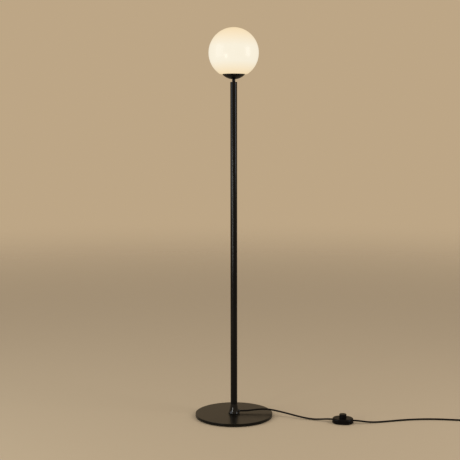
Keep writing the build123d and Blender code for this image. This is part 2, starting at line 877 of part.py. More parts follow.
with BuildPart() as switch_screws:
    screw_low = switch_stand + switch_screw_sink
    screw_neck = screw_low + switch_screw_head_height
    with BuildSketch(switch_plane.offset(screw_low)):
        with screw_spots():
            Circle(switch_screw_head / 2)
    extrude(amount=switch_screw_head_height)
    with BuildSketch(switch_plane.offset(screw_neck)):
        with screw_spots():
            Circle(switch_screw_diameter / 2)
    extrude(amount=switch_seam + switch_screw_reach - screw_neck)
write(switch_screws, "switch_screws")

with BuildPart() as switch_pads:
    with BuildSketch(switch_plane):
        with switch_pad_spots():
            Circle(switch_pad_diameter / 2)
    extrude(amount=switch_stand + switch_pad_recess)
write(switch_pads, "switch_pads")

# The button has a flange that stops under the cover, and a stem that works the latch.
flange_top = cover_top - switch_wall - loose_gap
flange_bottom = flange_top - button_flange
latch_top = switch_floor + latch_height
stem_bottom = switch_floor + button_travel + stem_clearance
spring_seat = spring_radius + spring_seat_border

with BuildPart() as switch_button:
    with BuildSketch(switch_plane.offset(flange_bottom)):
        Circle(button_radius + button_flange)
    extrude(amount=button_flange)
    with BuildSketch(switch_plane.offset(flange_top)):
        Circle(button_radius)
    extrude(amount=button_height)
    fillet(switch_button.faces().sort_by(Axis.Z)[-1].edges(), button_round)
    with BuildSketch(switch_plane.offset(flange_bottom)):
        Circle(button_radius - button_wall)
        Circle(spring_seat, mode=Mode.SUBTRACT)
    extrude(amount=button_height + button_flange - button_wall, mode=Mode.SUBTRACT)
    with BuildSketch(switch_plane.offset(stem_bottom)):
        Circle(stem_diameter / 2)
    extrude(amount=flange_bottom - stem_bottom)
write(switch_button, "switch_button")

with BuildPart() as switch_latch:
    with BuildSketch(switch_plane.offset(switch_floor)):
        RectangleRounded(latch_length, latch_width, latch_corner)
    extrude(amount=latch_height)
    with BuildSketch(switch_plane.offset(stem_bottom - button_travel - loose_gap)):
        Circle(stem_diameter / 2 + loose_gap)
    extrude(amount=latch_height, mode=Mode.SUBTRACT)
write(switch_latch, "switch_latch")

with BuildPart() as switch_spring:
    spring_low = latch_top + spring_wire / 2 + fit_gap
    spring_rise = flange_bottom - spring_wire / 2 - fit_gap - spring_low
    with BuildLine(switch_plane.offset(spring_low)):
        spring_path = Helix(pitch=spring_rise / spring_turns, height=spring_rise, radius=spring_radius)
    with BuildSketch(Plane(origin=spring_path @ 0, z_dir=spring_path % 0)):
        Circle(spring_wire / 2)
    sweep(is_frenet=True)
write(switch_spring, "switch_spring")

terminal_x = latch_length / 2 + terminal_gap + terminal_width / 2
terminal_top = switch_seam + terminal_rise

with BuildPart() as switch_terminals:
    with BuildSketch(switch_plane.offset(switch_floor)):
        with GridLocations(2 * terminal_x, terminal_spread, 2, 2):
            Rectangle(terminal_width, terminal_width)
    extrude(amount=terminal_top - switch_floor)
    with BuildSketch(switch_plane.offset(terminal_top)):
        with GridLocations(2 * terminal_x, terminal_spread, 2, 2):
            Circle(terminal_head / 2)
    extrude(amount=terminal_head_height)
write(switch_terminals, "switch_terminals")

# Each clamp is a bar over the cord, arched round it, screwed to two posts of the base.
with BuildPart() as switch_clamps:
    clamp_width = 2 * post_y + post_width
    for side in (-1, 1):
        with BuildSketch(switch_cross(side * clamp_x)):
            with Locations((0, switch_seam)):
                Circle(cord_radius + clamp_wall)
            with Locations((0, post_top + clamp_bar / 2)):
                Rectangle(clamp_width, clamp_bar)
            with Locations((0, post_top - clamp_width / 2)):
                Rectangle(clamp_width, clamp_width, mode=Mode.SUBTRACT)
            with Locations((0, switch_seam)):
                Circle(cord_radius + fit_gap, mode=Mode.SUBTRACT)
        extrude(amount=clamp_length / 2, both=True)
    with BuildSketch(switch_plane.offset(post_top)):
        with post_spots():
            Circle(clamp_screw_diameter / 2 + fit_gap)
    extrude(amount=clamp_bar, mode=Mode.SUBTRACT)
write(switch_clamps, "switch_clamps")

with BuildPart() as clamp_screws:
    with BuildSketch(switch_plane.offset(post_top - clamp_screw_depth)):
        with post_spots():
            Circle(clamp_screw_diameter / 2)
    extrude(amount=clamp_screw_depth + clamp_bar)
    with BuildSketch(switch_plane.offset(post_top + clamp_bar)):
        with post_spots():
            Circle(clamp_screw_head / 2)
    extrude(amount=clamp_screw_head_height)
write(clamp_screws, "clamp_screws")

# ---------------------------------------------------------------- cord


def corner_radii(points):
    """The largest arc at each corner that leaves a tenth of the shorter run straight."""
    radii = []
    for before, corner, after in zip(points, points[1:], points[2:]):
        run_in = Vector(*corner) - Vector(*before)
        run_out = Vector(*after) - Vector(*corner)
        half_turn = radians(run_in.get_angle(run_out)) / 2
        radii.append(0.45 * min(run_in.length, run_out.length) / tan(half_turn))
    return radii


def report_tube(label, tube, path, radii):
    """Print a tube's bends, and its volume against its section times its length."""
    section = pi * cord_radius**2
    print(label, "radii", [round(radius) for radius in radii])
    print(label, "length", round(path.length, 1), "volume / section", round(tube.volume / section, 1))


def lay_cord(points, radii, label):
    """A cord of straight runs joined by tangent arcs."""
    with BuildPart() as tube:
        with BuildLine() as route:
            FilletPolyline(*points, radius=radii)
        with BuildSketch(Plane(origin=route.wire() @ 0, z_dir=route.wire() % 0)):
            Circle(cord_radius)
        sweep(path=route.wire())
    report_tube(label, tube.part, route.wire(), radii)
    write(tube, label)


# Inside the lamp: in through the bush, up against the pole's far side and over to the neck's tube.
bore_slack = cone_bore / 2 - cord_radius - loose_gap
cord_crossing = 60.0       # height over which the cord comes back to the axis
crossing_bend = 300.0
inner_cord_end = nipple_top + cord_gap
lay_cord(
    [
        (bush_face, 0, cord_exit),
        (-bore_slack, 0, cord_exit),
        (-bore_slack, 0, spigot_top),
        (0, 0, spigot_top + cord_crossing),
        (0, 0, inner_cord_end),
    ],
    [cord_bend, crossing_bend, crossing_bend],
    "inner_cord",
)

# The two cores that leave the cord's end inside the lamp holder and go up to its terminals.
with BuildPart() as holder_leads:
    lead_room = terminal_bottom - inner_cord_end
    for core in (-1, 1):
        with BuildLine(Plane.XZ) as core_route:
            FilletPolyline(
                (core * core_spread, inner_cord_end),
                (core * core_spread, inner_cord_end + lead_room / 5),
                (core * holder_terminal_spread / 2, terminal_bottom - lead_room / 5),
                (core * holder_terminal_spread / 2, terminal_bottom),
                radius=core_radius,
            )
        with BuildSketch(Plane(origin=core_route.wire() @ 0, z_dir=core_route.wire() % 0)):
            Circle(core_radius)
        sweep(path=core_route.wire())
write(holder_leads, "holder_leads")

# From the foot cone across the disc, over its edge, down to the floor and into the switch.
lead_reach = switch_length / 2 + loose_gap
lead_run = 17.0            # straight run of the cord beside the switch
switch_entry = switch_plane.from_local_coords(Vector(-lead_reach, 0, switch_seam))
switch_lead_in = switch_plane.from_local_coords(Vector(-lead_reach - lead_run, 0, switch_seam))
first_points = [
    (bush_face, 0, cord_exit),
    (45, 0, cord_exit),
    (70, 5, 21.4),
    (98, 8.4, 23.4),
    (124, 7.6, 23.6),
    (149, 1.6, 21.2),
    (176, -8, 17.4),
    (204, -20.5, 13.6),
    (232, -34.5, 9.6),
    (260, -46, 6.0),
    (289, -53.5, 3.3),
    (315, -66, 6.8),
    tuple(switch_lead_in),
    tuple(switch_entry),
]
lay_cord(first_points, corner_radii(first_points), "cord_to_switch")

# Where the coil starts and ends.
coil_outer_radius = coil_inner_radius + coil_lower_halves * coil_pitch / 2
coil_y = coil_entry_y + coil_outer_radius
coil_upper = coil_rest + coil_layer
coil_start = (coil_x - cord_diameter, coil_entry_y, coil_rest)

# From the switch over the floor to the coil.
switch_exit = switch_plane.from_local_coords(Vector(lead_reach, 0, switch_seam))
switch_lead_out = switch_plane.from_local_coords(Vector(lead_reach + lead_run, 0, switch_seam))
second_points = [
    tuple(switch_exit),
    tuple(switch_lead_out),
    (472, -97.5, 7.2),
    (500, -94.8, 4.2),
    (531, -87.6, 3.3),
    (566, -78.3, 3.2),
    (606, -67.0, 3.3),
    (652, -57.5, 3.2),
    (706, -53.0, 3.3),
    (760, -56.0, 3.2),
    (809, -65.0, 3.3),
    (850, coil_entry_y, coil_rest),
    coil_start,
]
lay_cord(second_points, corner_radii(second_points), "cord_to_coil")


def half_turn_ends(first, step, count):
    """Where the half turns end: below and above the coil's middle in turn, and how far from it."""
    ends = []
    for index in range(count + 1):
        ends.append((-((-1) ** index), first + step * index))
    return ends


def coil_point(end, level):
    """A point above or below the coil's centre, on its line of half turns."""
    side, reach = end
    return Vector(coil_x, coil_y + side * reach, level)


def flat_half_turns(ends, level):
    """Half circles from end to end: from below to above on the right, and back on the left."""
    for start, stop in zip(ends, ends[1:]):
        heading = (-start[0], 0, 0)
        TangentArc(coil_point(start, level), coil_point(stop, level), tangent=heading)


# The coil: half turns spiral in on the floor, one half turn climbs, half turns spiral out on top,
# and a last quarter turn leaves towards +Y. Each half turn ends on the line x = coil_x.
lower_ends = half_turn_ends(coil_outer_radius, -coil_pitch / 2, coil_lower_halves)
upper_ends = half_turn_ends(coil_inner_radius, coil_pitch / 2, coil_upper_halves)

with BuildPart() as cord_coil:
    with BuildLine() as coil_path:
        Line(coil_start, coil_point(lower_ends[0], coil_rest))
        flat_half_turns(lower_ends, coil_rest)
        climb_start = coil_point(lower_ends[-1], coil_rest)
        climb_end = coil_point(upper_ends[0], coil_upper)
        climb_reach = hypot(coil_inner_radius, coil_layer / 2)
        climb_middle = Vector(coil_x - climb_reach, coil_y, coil_rest + coil_layer / 2)
        first_climb = TangentArc(climb_start, climb_middle, tangent=(-1, 0, 0))
        TangentArc(climb_middle, climb_end, tangent=first_climb % 1)
        flat_half_turns(upper_ends, coil_upper)
        last_radius = upper_ends[-1][1] + coil_pitch / 4
        quarter_start = coil_point(upper_ends[-1], coil_upper)
        quarter_end = quarter_start + Vector(last_radius, last_radius, 0)
        TangentArc(quarter_start, quarter_end, tangent=(1, 0, 0))
        coil_end = quarter_end + Vector(0, cord_diameter, 0)
        Line(quarter_end, coil_end)
    with BuildSketch(Plane(origin=coil_start, z_dir=(1, 0, 0))):
        Circle(cord_radius)
    sweep(path=coil_path.wire())
report_tube("cord_coil", cord_coil.part, coil_path.wire(), [coil_inner_radius, coil_outer_radius])
write(cord_coil, "cord_coil")

# The coil's least gap to itself: points along it that are more than a quarter turn apart.
coil_length = coil_path.wire().length
sample_count = 900
samples = [coil_path.wire() @ (index / sample_count) for index in range(sample_count + 1)]
apart = int(sample_count * coil_inner_radius * pi / 2 / coil_length)
least = coil_length
for index, point in enumerate(samples):
    for other in samples[index + apart :]:
        least = min(least, (point - other).length)
print("cord_coil least gap to itself", round(least - cord_diameter, 2))

# A flat tie holds the coil together on its far side.
with BuildPart() as coil_tie:
    tie_low = coil_rest - cord_radius - loose_gap / 2
    tie_high = coil_upper + cord_radius + loose_gap
    tie_near = coil_y + coil_inner_radius - cord_radius - loose_gap
    tie_far = coil_y + coil_outer_radius - coil_pitch / 2 + cord_radius + loose_gap
    tie_depth = tie_far - tie_near
    tie_height = tie_high - tie_low
    with BuildSketch(Plane.YZ.offset(coil_x - tie_width / 2)):
        with Locations(((tie_near + tie_far) / 2, (tie_low + tie_high) / 2)):
            RectangleRounded(
                tie_depth + 2 * tie_thickness,
                tie_height + 2 * tie_thickness,
                cord_radius + tie_thickness,
            )
            RectangleRounded(tie_depth, tie_height, cord_radius, mode=Mode.SUBTRACT)
    extrude(amount=tie_width)
write(coil_tie, "coil_tie")

# From the coil down to the plug.
plug_axis = plug_thickness / 2
tail_points = [
    tuple(coil_end),
    (coil_end.X, -4.0, coil_upper),
    (939.2, 12.0, 9.4),
    (941.2, 28.0, 7.4),
    (plug_x, 44.0, plug_axis),
    (plug_x, plug_y, plug_axis),
]
lay_cord(tail_points, corner_radii(tail_points), "cord_to_plug")

# The ends of the two cords inside the switch, each with its sheath and two cores.
sheath_end = clamp_x - clamp_length / 2 - post_gap
core_room = sheath_end - terminal_x - terminal_width / 2 - fit_gap

with BuildPart() as switch_leads:
    for side in (-1, 1):
        with BuildSketch(switch_cross(side * sheath_end)):
            with Locations((0, switch_seam)):
                Circle(cord_radius)
        extrude(amount=side * (lead_reach - sheath_end))
        for core in (-1, 1):
            core_points = [
                (side * (sheath_end + core_spread), core * core_spread, switch_seam),
                (side * (sheath_end - 0.25 * core_room), core * core_spread, switch_seam),
                (side * (sheath_end - 0.65 * core_room), core * terminal_spread / 2, switch_seam),
                (side * (sheath_end - core_room), core * terminal_spread / 2, switch_seam),
            ]
            with BuildLine(switch_plane) as core_route:
                FilletPolyline(*core_points, radius=0.15 * core_room)
            with BuildSketch(Plane(origin=core_route.wire() @ 0, z_dir=core_route.wire() % 0)):
                Circle(core_radius)
            sweep(path=core_route.wire())
write(switch_leads, "switch_leads")

# ---------------------------------------------------------------- plug

relief_end = plug_y + relief_length
plug_face = relief_end + plug_length


def across_plug(y):
    """A plane square to the plug's length, looking out along its pins."""
    return Plane(origin=(plug_x, y, plug_axis), x_dir=(1, 0, 0), z_dir=(0, 1, 0))


with BuildPart() as plug_body:
    with BuildSketch(Plane.XY):
        with BuildLine():
            plug_half = Polyline(
                (plug_x, plug_face),
                (plug_x + plug_width / 2, plug_face),
                (plug_x + plug_width / 2, plug_face - plug_side),
                (plug_x + plug_hip_width / 2, relief_end + plug_hip),
                (plug_x + plug_throat_width / 2, relief_end),
                (plug_x, relief_end),
            )
            mirror(plug_half, about=Plane.YZ.offset(plug_x))
        make_face()
    extrude(amount=plug_thickness)
    fillet(plug_body.edges().filter_by(Axis.Z), plug_corner)
    chamfer(plug_body.faces().sort_by(Axis.Z)[0].edges(), plug_chamfer)
    chamfer(plug_body.faces().sort_by(Axis.Z)[-1].edges(), plug_chamfer)
    with BuildSketch(Plane(origin=(plug_x, plug_y, plug_axis), x_dir=(1, 0, 0), z_dir=(0, 0, 1))):
        with BuildLine():
            Polyline(
                (0, 0),
                (relief_tail_radius, 0),
                (relief_root_radius, relief_length),
                (relief_root_radius, relief_length + relief_overlap),
                (0, relief_length + relief_overlap),
                close=True,
            )
        make_face()
    revolve(axis=Axis((plug_x, plug_y, plug_axis), (0, 1, 0)))
    for groove in range(groove_count):
        with BuildSketch(across_plug(plug_y + groove_start + groove_pitch * groove)):
            Circle(2 * relief_root_radius)
            Circle(relief_core_radius, mode=Mode.SUBTRACT)
            Rectangle(groove_bridge, 4 * relief_root_radius, mode=Mode.SUBTRACT)
        extrude(amount=groove_width, mode=Mode.SUBTRACT)
    with BuildSketch(across_plug(plug_face - pin_root)):
        with GridLocations(pin_spacing, 1, 2, 1):
            Circle(pin_core_radius + tap_gap)
    extrude(amount=pin_root, mode=Mode.SUBTRACT)
write(plug_body, "plug_body")

with BuildPart() as plug_pins:
    for side in (-1, 1):
        pin_x = plug_x + side * pin_spacing / 2
        with BuildSketch(Plane(origin=(pin_x, plug_face, plug_axis), x_dir=(1, 0, 0), z_dir=(0, 0, 1))):
            with BuildLine():
                Polyline(
                    (0, -pin_root),
                    (pin_core_radius, -pin_root),
                    (pin_core_radius, pin_sleeve_length),
                    (pin_diameter / 2, pin_sleeve_length),
                    (pin_diameter / 2, pin_length - pin_point),
                    (pin_diameter / 2 - pin_point, pin_length),
                    (0, pin_length),
                    close=True,
                )
            make_face()
        revolve(axis=Axis((pin_x, plug_face, plug_axis), (0, 1, 0)))
write(plug_pins, "plug_pins")

with BuildPart() as plug_sleeves:
    with BuildSketch(across_plug(plug_face)):
        with GridLocations(pin_spacing, 1, 2, 1):
            Circle(pin_diameter / 2)
            Circle(pin_core_radius + tap_gap, mode=Mode.SUBTRACT)
    extrude(amount=pin_sleeve_length)
write(plug_sleeves, "plug_sleeves")
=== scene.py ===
import math
import bmesh
import bpy
from mathutils import Matrix, Vector


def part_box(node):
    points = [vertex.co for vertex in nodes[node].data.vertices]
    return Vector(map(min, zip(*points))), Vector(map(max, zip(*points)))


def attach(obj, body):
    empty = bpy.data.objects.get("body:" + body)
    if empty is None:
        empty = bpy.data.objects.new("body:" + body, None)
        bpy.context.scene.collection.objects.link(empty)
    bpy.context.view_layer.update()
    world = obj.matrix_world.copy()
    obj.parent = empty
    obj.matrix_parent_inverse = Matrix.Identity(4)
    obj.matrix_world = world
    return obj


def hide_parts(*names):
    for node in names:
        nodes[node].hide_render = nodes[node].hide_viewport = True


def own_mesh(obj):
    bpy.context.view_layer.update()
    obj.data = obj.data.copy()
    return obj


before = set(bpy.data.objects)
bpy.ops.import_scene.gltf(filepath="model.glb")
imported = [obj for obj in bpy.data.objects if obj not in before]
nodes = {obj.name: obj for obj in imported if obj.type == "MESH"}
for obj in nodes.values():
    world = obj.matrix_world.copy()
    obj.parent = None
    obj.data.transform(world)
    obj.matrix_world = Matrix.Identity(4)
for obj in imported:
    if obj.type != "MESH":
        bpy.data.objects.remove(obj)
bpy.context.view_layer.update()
scene = bpy.context.scene
print("frame loaded,", len(nodes), "nodes")


def linkObject(name, data):
    made = bpy.data.objects.new(name, data)
    scene.collection.objects.link(made)
    return made


def keepMesh(name, mesh):
    kept = bpy.data.meshes.new(name)
    mesh.to_mesh(kept)
    mesh.free()
    return kept


# The camera stands in front of the lamp, above half its height, and looks slightly down.
cameraPlace = {
    "spot": (-0.0134, -3.5885, 1.0663),  # metres
    "pitchDown": 0.1033,  # radians
    "roll": 0.0012,
    "lens": 77.51,  # millimetres, as the sensor
    "sensor": 36.0,
}


def placeCamera(place):
    cameraData = bpy.data.cameras.new("frontCamera")
    cameraData.lens = place["lens"]
    cameraData.sensor_width = place["sensor"]
    camera = linkObject("frontCamera", cameraData)
    camera.location = place["spot"]
    camera.rotation_euler = (math.pi / 2 - place["pitchDown"], place["roll"], 0)
    scene.camera = camera


placeCamera(cameraPlace)
print("camera placed")

# The cord, in two stretches with the foot switch between them. Metres, in the lamp's own frame.
cordMake = {
    "diameter": 0.0062,
    "exit": (0.0215, 0, 0.0197),
    "toSwitch": 0.3516,  # lengths of the two stretches
    "toPlug": 1.6818,
    "roundSteps": 8,
    "longSteps": 10,  # between two points
}
switchPlace = {
    "middle": (0.3944, -0.0875),
    "turn": math.radians(-12),
    "reach": 0.0383,  # half the switch's length, and a little room
    "run": 0.017,  # straight run of the cord beside the switch
    "seam": 0.011,  # height of the cord there
}
coilMake = {
    "middle": (0.895, -0.0271),
    "outer": 0.0454,
    "lowerHalves": 5,  # half turns on the floor, then those of the climb and on top
    "climbHalves": 1,
    "upperHalves": 4,
    "lastHalf": 0.5,  # the part of a half turn that leads out
    "perHalf": 0.004,  # how far each half turn moves in or out
    "low": 0.00395,
    "high": 0.01115,
    "pointsPerHalf": 8,
}


def besideSwitch(along):
    x, y = switchPlace["middle"]
    turn = switchPlace["turn"]
    return (x + along * math.cos(turn), y + along * math.sin(turn), switchPlace["seam"])


def coilReach(halves):
    # in on the floor, level while it climbs, out again on top
    inwards = min(halves, coilMake["lowerHalves"])
    outwards = max(0, halves - coilMake["lowerHalves"] - coilMake["climbHalves"])
    return coilMake["outer"] - coilMake["perHalf"] * (inwards - outwards)


def coilTurns():
    points = []
    step = 1 / coilMake["pointsPerHalf"]
    ends = coilMake["lowerHalves"] + coilMake["climbHalves"] + coilMake["upperHalves"] + coilMake["lastHalf"]
    stretch = 1 / math.cos(math.pi * step / 2)  # the spline runs inside its points
    x, y = coilMake["middle"]
    halves = step
    while halves <= ends:
        angle = math.pi * (halves - 0.5)  # from the front of the coil
        reach = coilReach(halves) * stretch
        climb = min(1, max(0, (halves - coilMake["lowerHalves"]) / coilMake["climbHalves"]))
        height = coilMake["low"] + (coilMake["high"] - coilMake["low"]) * climb
        points.append((x + reach * math.cos(angle), y + reach * math.sin(angle), height))
        halves += step
    return points


pointsToSwitch = [
    cordMake["exit"],
    (0.045, 0, 0.0197),
    (0.070, 0.005, 0.0214),
    (0.098, 0.0084, 0.0234),
    (0.124, 0.0076, 0.0236),
    (0.149, 0.0016, 0.0212),
    (0.176, -0.008, 0.0174),
    (0.204, -0.0205, 0.0136),
    (0.232, -0.0345, 0.0096),
    (0.260, -0.046, 0.006),
    (0.289, -0.0535, 0.0033),
    (0.315, -0.066, 0.0068),
    besideSwitch(-switchPlace["reach"] - switchPlace["run"]),
    besideSwitch(-switchPlace["reach"]),
]
pointsToCoil = [
    besideSwitch(switchPlace["reach"]),
    besideSwitch(switchPlace["reach"] + switchPlace["run"]),
    (0.472, -0.0975, 0.0072),
    (0.500, -0.0948, 0.0042),
    (0.531, -0.0876, 0.0033),
    (0.566, -0.0783, 0.0032),
    (0.606, -0.067, 0.0033),
    (0.652, -0.0575, 0.0032),
    (0.706, -0.053, 0.0033),
    (0.760, -0.056, 0.0032),
    (0.809, -0.065, 0.0033),
    (0.850, -0.0725, 0.00395),
    (0.8888, -0.0725, 0.00395),
]
pointsToPlug = [
    (0.9384, -0.0189, 0.01115),
    (0.9384, -0.004, 0.01115),
    (0.9392, 0.012, 0.0094),
    (0.9412, 0.028, 0.0074),
    (0.942, 0.044, 0.00685),
    (0.942, 0.060, 0.00685),
]


def layCord(name, points):
    curve = bpy.data.curves.new(name, "CURVE")
    curve.dimensions = "3D"
    curve.bevel_depth = 1.0  # times each point's radius
    curve.bevel_resolution = cordMake["roundSteps"]
    curve.resolution_u = cordMake["longSteps"]
    curve.use_fill_caps = True
    spline = curve.splines.new("NURBS")
    spline.points.add(len(points) - 1)
    for point, place in zip(spline.points, points):
        point.co = (*place, 1)
        point.radius = cordMake["diameter"] / 2
    spline.order_u = 3
    spline.use_endpoint_u = True
    cord = linkObject(name, curve)
    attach(cord, "stand")
    return cord


cordToSwitch = layCord("flexToSwitch", pointsToSwitch)
cordToPlug = layCord("flexToPlug", pointsToCoil + coilTurns() + pointsToPlug)
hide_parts("cord_to_switch")
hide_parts("cord_to_coil", "cord_coil", "cord_to_plug")
print("cords laid")

# The bulb's screw cap, pressed from thin sheet with a round thread. Metres.
capMake = {
    "crest": 0.0130,
    "root": 0.0121,
    "pitch": 0.00362,
    "turnSteps": 72,
    "stepsPerPitch": 16,
    "threadFrom": 0.0022,  # above the cap's foot
    "threadTo": 0.0165,
    "neck": 0.0124,  # radius of the plain band above and below the thread
    "blend": 0.0007,  # height over which the thread runs out
    "footRadius": 0.0116,
    "sheet": 0.0004,
    "weld": 0.000005,  # what the turns are joined within
    "flatness": 0.00001,  # and what still counts as a level rim
}


def profileHeights(make, foot):
    # starts a pitch low and ends a pitch high, so that the cut ends are whole
    pitches = math.ceil((make["threadTo"] - make["threadFrom"]) / make["pitch"]) + 2
    first = foot + make["threadFrom"] - make["pitch"]
    step = make["pitch"] / make["stepsPerPitch"]
    return [first + step * count for count in range(pitches * make["stepsPerPitch"] + 1)]


def threadRadius(make, height):
    wave = (1 + math.cos(2 * math.pi * height / make["pitch"])) / 2
    return make["root"] + (make["crest"] - make["root"]) * wave


def cutFlat(mesh, height, upper):
    bmesh.ops.bisect_plane(
        mesh,
        geom=mesh.verts[:] + mesh.edges[:] + mesh.faces[:],
        plane_co=(0, 0, height),
        plane_no=(0, 0, 1),
        clear_outer=upper,
        clear_inner=not upper,
    )


def rimEdges(mesh, height, flatness):
    return [
        edge for edge in mesh.edges
        if edge.is_boundary and all(abs(vert.co.z - height) < flatness for vert in edge.verts)
    ]


def drawRim(mesh, edges, radius, height):
    # pulls a rim on to a round of the given radius and height
    made = bmesh.ops.extrude_edge_only(mesh, edges=edges)["geom"]
    for vert in made:
        if isinstance(vert, bmesh.types.BMVert):
            across = Vector((vert.co.x, vert.co.y)).normalized() * radius
            vert.co = (across.x, across.y, height)
    return [edge for edge in made if isinstance(edge, bmesh.types.BMEdge) and edge.is_boundary]


def pressCap(make):
    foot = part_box("bulb_cap")[0][2]
    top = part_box("bulb_cap")[1][2]
    mesh = bmesh.new()
    line = [mesh.verts.new((threadRadius(make, height), 0, height)) for height in profileHeights(make, foot)]
    edges = [mesh.edges.new(pair) for pair in zip(line, line[1:])]
    bmesh.ops.spin(
        mesh,
        geom=line + edges,
        cent=(0, 0, 0),
        axis=(0, 0, 1),
        dvec=(0, 0, make["pitch"] / make["turnSteps"]),
        angle=2 * math.pi,
        steps=make["turnSteps"],
        use_merge=False,
    )
    bmesh.ops.remove_doubles(mesh, verts=mesh.verts, dist=make["weld"])
    threadFoot = foot + make["threadFrom"]
    threadTop = foot + make["threadTo"]
    cutFlat(mesh, threadFoot, False)
    cutFlat(mesh, threadTop, True)
    rim = rimEdges(mesh, threadTop, make["flatness"])
    rim = drawRim(mesh, rim, make["neck"], threadTop + make["blend"])
    drawRim(mesh, rim, make["neck"], top)
    rim = rimEdges(mesh, threadFoot, make["flatness"])
    rim = drawRim(mesh, rim, make["neck"], threadFoot - make["blend"])
    rim = drawRim(mesh, rim, make["footRadius"], foot)
    bmesh.ops.contextual_create(mesh, geom=rim)
    bmesh.ops.recalc_face_normals(mesh, faces=mesh.faces)
    capMesh = keepMesh("threadedCap", mesh)
    for face in capMesh.polygons:
        face.use_smooth = True
    cap = linkObject("threadedCap", capMesh)
    wall = cap.modifiers.new("sheet", "SOLIDIFY")
    wall.thickness = make["sheet"]
    wall.offset = -1
    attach(cap, "bulb")
    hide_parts("bulb_cap")
    return cap


threadedCap = pressCap(capMake)
print("bulb cap pressed")

# The spring below the switch's button, wound once at its resting length; the real one shortens as the button
# goes down. Metres.
springMake = {
    "wire": 0.0007,
    "radius": 0.006,
    "turns": 2.5,
    "wireSides": 12,
    "stepsPerTurn": 48,
    "pressed": 0.0035,  # what the button takes off its length
}


def windSpring(make):
    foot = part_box("switch_spring")[0][2]
    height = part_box("switch_spring")[1][2] - foot
    mesh = bmesh.new()
    wireStart = Matrix.Translation((make["radius"], 0, foot + make["wire"] / 2))
    ring = bmesh.ops.create_circle(
        mesh,
        segments=make["wireSides"],
        radius=make["wire"] / 2,
        matrix=wireStart @ Matrix.Rotation(math.pi / 2, 4, "X"),
    )["verts"]
    steps = round(make["turns"] * make["stepsPerTurn"])
    bmesh.ops.spin(
        mesh,
        geom=ring + mesh.edges[:],
        cent=(0, 0, 0),
        axis=(0, 0, 1),
        dvec=(0, 0, (height - make["wire"]) / steps),
        angle=2 * math.pi * make["turns"],
        steps=steps,
        use_merge=False,
    )
    wireEnds = [edge for edge in mesh.edges if edge.is_boundary]
    bmesh.ops.holes_fill(mesh, edges=wireEnds, sides=make["wireSides"])
    bmesh.ops.recalc_face_normals(mesh, faces=mesh.faces)
    bmesh.ops.translate(mesh, verts=mesh.verts, vec=(*switchPlace["middle"], 0))
    springMesh = keepMesh("buttonSpring", mesh)
    for face in springMesh.polygons:
        face.use_smooth = len(face.vertices) == 4  # the two ends stay flat
    spring = linkObject("buttonSpring", springMesh)
    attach(spring, "stand")
    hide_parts("switch_spring")
    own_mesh(spring)
    return spring


buttonSpring = windSpring(springMake)
print("spring wound")

# What all the finishes share. Each has slow changes of tone, uneven gloss and a fine grain.
finishMake = {
    "toneSpread": (0.3, 0.7),  # where on a pattern the dark tone ends and the light one starts
    "slowDetail": 4.0,
    "fineDetail": 2.0,
    "cloudDetail": 3.0,  # in what is lit from inside
    "coatRoughness": 0.1,
}


def newFinish(name):
    finish = bpy.data.materials.new(name)
    finish.use_nodes = True
    shader = finish.node_tree.nodes["Principled BSDF"]
    return finish, finish.node_tree, shader


def patternOf(tree, scale, detail, stretch=(1, 1, 1)):
    coordinates = tree.nodes.new("ShaderNodeTexCoord")
    mapping = tree.nodes.new("ShaderNodeMapping")
    mapping.inputs["Scale"].default_value = stretch
    pattern = tree.nodes.new("ShaderNodeTexNoise")
    pattern.inputs["Scale"].default_value = scale
    pattern.inputs["Detail"].default_value = detail
    tree.links.new(coordinates.outputs["Object"], mapping.inputs["Vector"])
    tree.links.new(mapping.outputs["Vector"], pattern.inputs["Vector"])
    return pattern


def mixTones(tree, pattern, socket, dark, light):
    ramp = tree.nodes.new("ShaderNodeValToRGB")
    for stop, place, tone in zip(ramp.color_ramp.elements, finishMake["toneSpread"], (dark, light)):
        stop.position = place
        stop.color = (*tone, 1)
    tree.links.new(pattern.outputs["Fac"], ramp.inputs["Fac"])
    tree.links.new(ramp.outputs["Color"], socket)


def varyRoughness(tree, pattern, shader, low, high):
    mapped = tree.nodes.new("ShaderNodeMapRange")
    mapped.inputs["To Min"].default_value = low
    mapped.inputs["To Max"].default_value = high
    tree.links.new(pattern.outputs["Fac"], mapped.inputs["Value"])
    tree.links.new(mapped.outputs["Result"], shader.inputs["Roughness"])


def raiseGrain(tree, pattern, shader, height):
    bump = tree.nodes.new("ShaderNodeBump")
    bump.inputs["Distance"].default_value = height
    bump.inputs["Strength"].default_value = 1.0
    tree.links.new(pattern.outputs["Fac"], bump.inputs["Height"])
    tree.links.new(bump.outputs["Normal"], shader.inputs["Normal"])


def grainedFinish(name, look):
    finish, tree, shader = newFinish(name)
    slow = patternOf(tree, look["toneScale"], finishMake["slowDetail"])
    fine = patternOf(tree, look["grainScale"], finishMake["fineDetail"], look.get("grainStretch", (1, 1, 1)))
    mixTones(tree, slow, shader.inputs["Base Color"], look["dark"], look["light"])
    varyRoughness(tree, slow, shader, *look["roughness"])
    raiseGrain(tree, fine, shader, look["grainHeight"])
    shader.inputs["Metallic"].default_value = look.get("metallic", 0.0)
    shader.inputs["Specular IOR Level"].default_value = look.get("specular", 0.5)
    shader.inputs["Coat Weight"].default_value = look.get("coat", 0.0)
    shader.inputs["Coat Roughness"].default_value = finishMake["coatRoughness"]
    return finish


